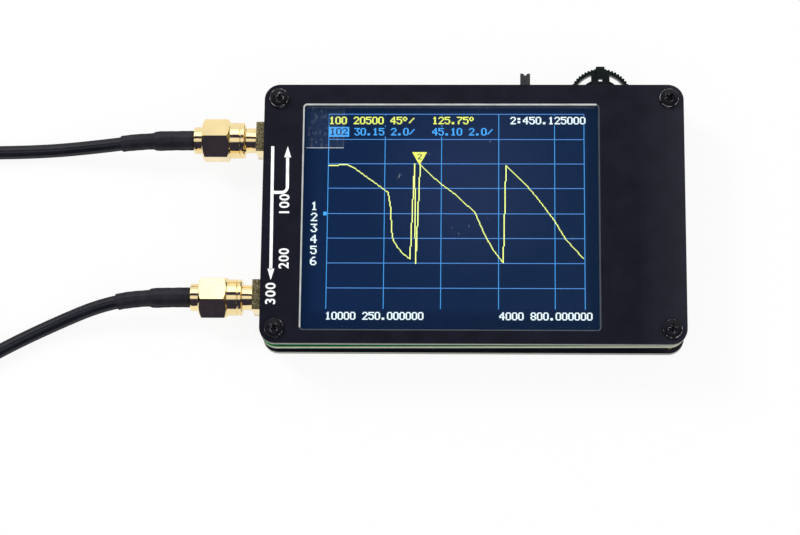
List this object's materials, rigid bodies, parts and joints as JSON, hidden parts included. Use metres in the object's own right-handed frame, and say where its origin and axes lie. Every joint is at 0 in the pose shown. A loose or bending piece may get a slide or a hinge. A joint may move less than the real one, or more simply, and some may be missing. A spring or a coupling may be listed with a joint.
{
  "type": "antenna analyzer",
  "caption": "Pocket-size antenna analyzer: black board panels around a colour screen, coaxial sockets with test leads on one end, a thumbwheel and a slide switch on the top edge.",
  "frame": {"origin": "middle of the instrument in length and width, on the plane that the heads of the rear screws stand on", "axes": "+X away from the coaxial sockets, +Y to the edge with the thumbwheel, +Z out of the screen"},
  "size_m": [0.201, 0.0854, 0.0136],
  "materials": {
    "black_board": "satin black solder mask on glass-epoxy board with pale raw edges",
    "green_board": "satin green solder mask on glass-epoxy board",
    "screw_black": "black plated steel, satin",
    "standoff_metal": "turned brass, satin",
    "tray": "white moulded backlight tray",
    "screen": "dark blue lit liquid-crystal cell",
    "touch": "clear touch panel, gloss",
    "film": "clear protective film, gloss",
    "flex": "amber polyimide ribbon, satin",
    "cell": "silver laminated pouch, satin",
    "tin": "tin-plated sheet steel",
    "chip": "black moulded chip",
    "passive": "ceramic chip capacitors and resistors",
    "light": "clear moulded status light",
    "black_plastic": "black moulded plastic, satin",
    "gold": "gold-plated brass, polished",
    "dull_gold": "gold-plated die casting, slightly rough",
    "white_insulator": "white fluoropolymer",
    "sleeve": "black heat-shrink sleeve, satin",
    "cable": "black cable jacket, satin"
  },
  "bodies": {
    "instrument": {"front_panel": "black_board", "back_panel": "black_board", "main_board": "green_board", "front_screws": "screw_black", "back_screws": "screw_black", "front_standoffs": "standoff_metal", "back_standoffs": "standoff_metal", "lcd_backlight": "tray", "lcd_glass": "screen", "touch_panel": "touch", "screen_film": "film", "lcd_flex": "flex", "battery_cell": "cell", "battery_tabs": "tin", "rf_shields": "tin", "processor_chip": "chip", "codec_chip": "chip", "synthesizer_chip": "chip", "oscillator": "tin", "power_chips": "chip", "passives": "passive", "status_lights": "light", "usb_shell": "tin", "usb_tongue": "black_plastic", "power_switch_frame": "tin", "jog_housing": "black_plastic", "upper_socket": "dull_gold", "upper_socket_insulator": "white_insulator", "upper_socket_contact": "gold", "upper_plug": "gold", "upper_plug_pin": "gold", "upper_sleeve": "sleeve", "upper_far_plug": "gold", "upper_far_plug_pin": "gold", "upper_far_sleeve": "sleeve", "upper_cable": "cable", "upper_coil": "cable", "lower_socket": "dull_gold", "lower_socket_insulator": "white_insulator", "lower_socket_contact": "gold", "lower_plug": "gold", "lower_plug_pin": "gold", "lower_sleeve": "sleeve", "lower_far_plug": "gold", "lower_far_plug_pin": "gold", "lower_far_sleeve": "sleeve", "lower_cable": "cable", "lower_coil": "cable"},
    "jog_press": {"jog_carriage": "black_plastic"},
    "jog_turn": {"jog_wheel": "black_plastic"},
    "power_slider": {"power_switch_knob": "black_plastic"},
    "upper_nut_body": {"upper_nut": "gold"},
    "lower_nut_body": {"lower_nut": "gold"},
    "upper_far_nut_body": {"upper_far_nut": "gold"},
    "lower_far_nut_body": {"lower_far_nut": "gold"}
  },
  "joints": [
    {"name": "jog_press", "type": "slide", "parent": "instrument", "child": "jog_press", "axis": [0, -1, 0], "range_m": [0, 0.0006], "stiffness_N_per_m": 1500},
    {"name": "jog_turn", "type": "hinge", "parent": "jog_press", "child": "jog_turn", "pos_m": [0.0262, 0.026, 0.0048], "axis": [0, 0, 1], "range_deg": [-15, 15], "stiffness_Nm_per_rad": 0.012},
    {"name": "power_slide", "type": "slide", "parent": "instrument", "child": "power_slider", "axis": [1, 0, 0], "range_m": [0, 0.002]},
    {"name": "upper_nut_turn", "type": "hinge", "parent": "instrument", "child": "upper_nut_body", "pos_m": [-0.0523, 0.01697, 0.0057], "axis": [1, 0, 0], "continuous": true},
    {"name": "lower_nut_turn", "type": "hinge", "parent": "instrument", "child": "lower_nut_body", "pos_m": [-0.0523, -0.0163, 0.0057], "axis": [1, 0, 0], "continuous": true},
    {"name": "upper_far_nut_turn", "type": "hinge", "parent": "instrument", "child": "upper_far_nut_body", "pos_m": [-0.1526, 0.0169, 0.00475], "axis": [1, 0, 0], "continuous": true},
    {"name": "lower_far_nut_turn", "type": "hinge", "parent": "instrument", "child": "lower_far_nut_body", "pos_m": [-0.1492, -0.03446, 0.00475], "axis": [1, 0, 0], "continuous": true}
  ]
}
